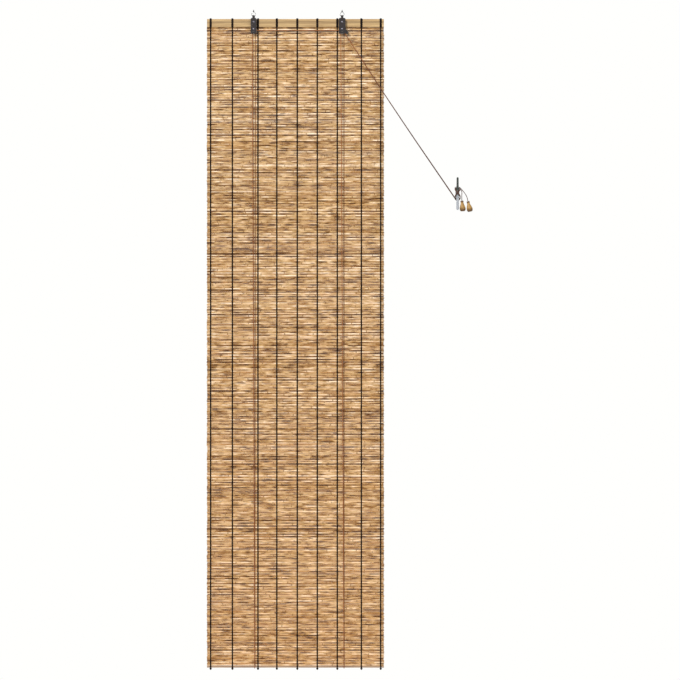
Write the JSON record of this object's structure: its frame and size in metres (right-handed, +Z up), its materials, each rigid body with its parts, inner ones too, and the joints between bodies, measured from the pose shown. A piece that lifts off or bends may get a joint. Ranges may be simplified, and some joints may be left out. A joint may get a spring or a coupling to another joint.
{
  "type": "reed roll up blind",
  "caption": "Roll up window blind of horizontal reeds bound by black threads, hung from two pulley blocks, its lift cords wound on a wall cleat and ending in wooden pulls.",
  "frame": {"origin": "midway between the two screw eyes, on the lintel's underside that they are screwed into", "axes": "+X right as seen from the room, -Y into the room, +Z up"},
  "size_m": [0.9012, 0.0416, 2.2382],
  "materials": {
    "batten_wood": "planed, waxed",
    "slat_wood": "planed, bare",
    "reed": "natural, satin",
    "black_yarn": "twisted cotton",
    "black_paint": "satin enamel",
    "sheave_plastic": "moulded",
    "black_pin": "satin enamel",
    "rivet_steel": "zinc plated",
    "bright_wire": "bright plated",
    "cleat_metal": "polished",
    "lift_cord": "braided polyester",
    "turned_wood": "turned, lacquered"
  },
  "bodies": {
    "blind": {"bottom_slat": "slat_wood", "cleat": "cleat_metal", "cleat_screws": "bright_wire", "cord_winding": "lift_cord", "head_batten": "batten_wood", "left_axle": "black_pin", "left_batten_rivet": "rivet_steel", "left_block_frame": "black_paint", "left_cord_staple": "bright_wire", "left_cord_tail": "lift_cord", "left_keeper_rivet": "rivet_steel", "left_lift_cord": "lift_cord", "left_lower_sleeve": "rivet_steel", "left_screw_eye": "bright_wire", "left_spacer_bush": "rivet_steel", "left_upper_sleeve": "rivet_steel", "left_wooden_pull": "turned_wood", "reeds": "reed", "right_axle": "black_pin", "right_batten_rivet": "rivet_steel", "right_block_frame": "black_paint", "right_cord_staple": "bright_wire", "right_cord_tail": "lift_cord", "right_keeper_rivet": "rivet_steel", "right_lift_cord": "lift_cord", "right_lower_sleeve": "rivet_steel", "right_screw_eye": "bright_wire", "right_upper_sleeve": "rivet_steel", "right_wooden_pull": "turned_wood", "warp_thread_1": "black_yarn", "warp_thread_2": "black_yarn", "warp_thread_3": "black_yarn", "warp_thread_4": "black_yarn", "warp_thread_5": "black_yarn", "warp_thread_6": "black_yarn", "warp_thread_7": "black_yarn", "warp_thread_8": "black_yarn", "warp_thread_9": "black_yarn"},
    "left_sheave": {"left_sheave": "sheave_plastic"},
    "right_rear_sheave": {"right_rear_sheave": "sheave_plastic"},
    "right_front_sheave": {"right_front_sheave": "sheave_plastic"}
  },
  "joints": [
    {"name": "left_sheave_spin", "type": "hinge", "parent": "blind", "child": "left_sheave", "pos_m": [-0.15, 0.00235, -0.06732], "axis": [0, 1, 0], "continuous": true},
    {"name": "right_rear_sheave_spin", "type": "hinge", "parent": "blind", "child": "right_rear_sheave", "pos_m": [0.15, 0.00235, -0.06732], "axis": [0, 1, 0], "continuous": true},
    {"name": "right_front_sheave_spin", "type": "hinge", "parent": "blind", "child": "right_front_sheave", "pos_m": [0.15, -0.00235, -0.06732], "axis": [0, 1, 0], "continuous": true}
  ],
  "couplings": [
    {"joint": "left_sheave_spin", "follows": "right_rear_sheave_spin", "ratio": 1}
  ]
}
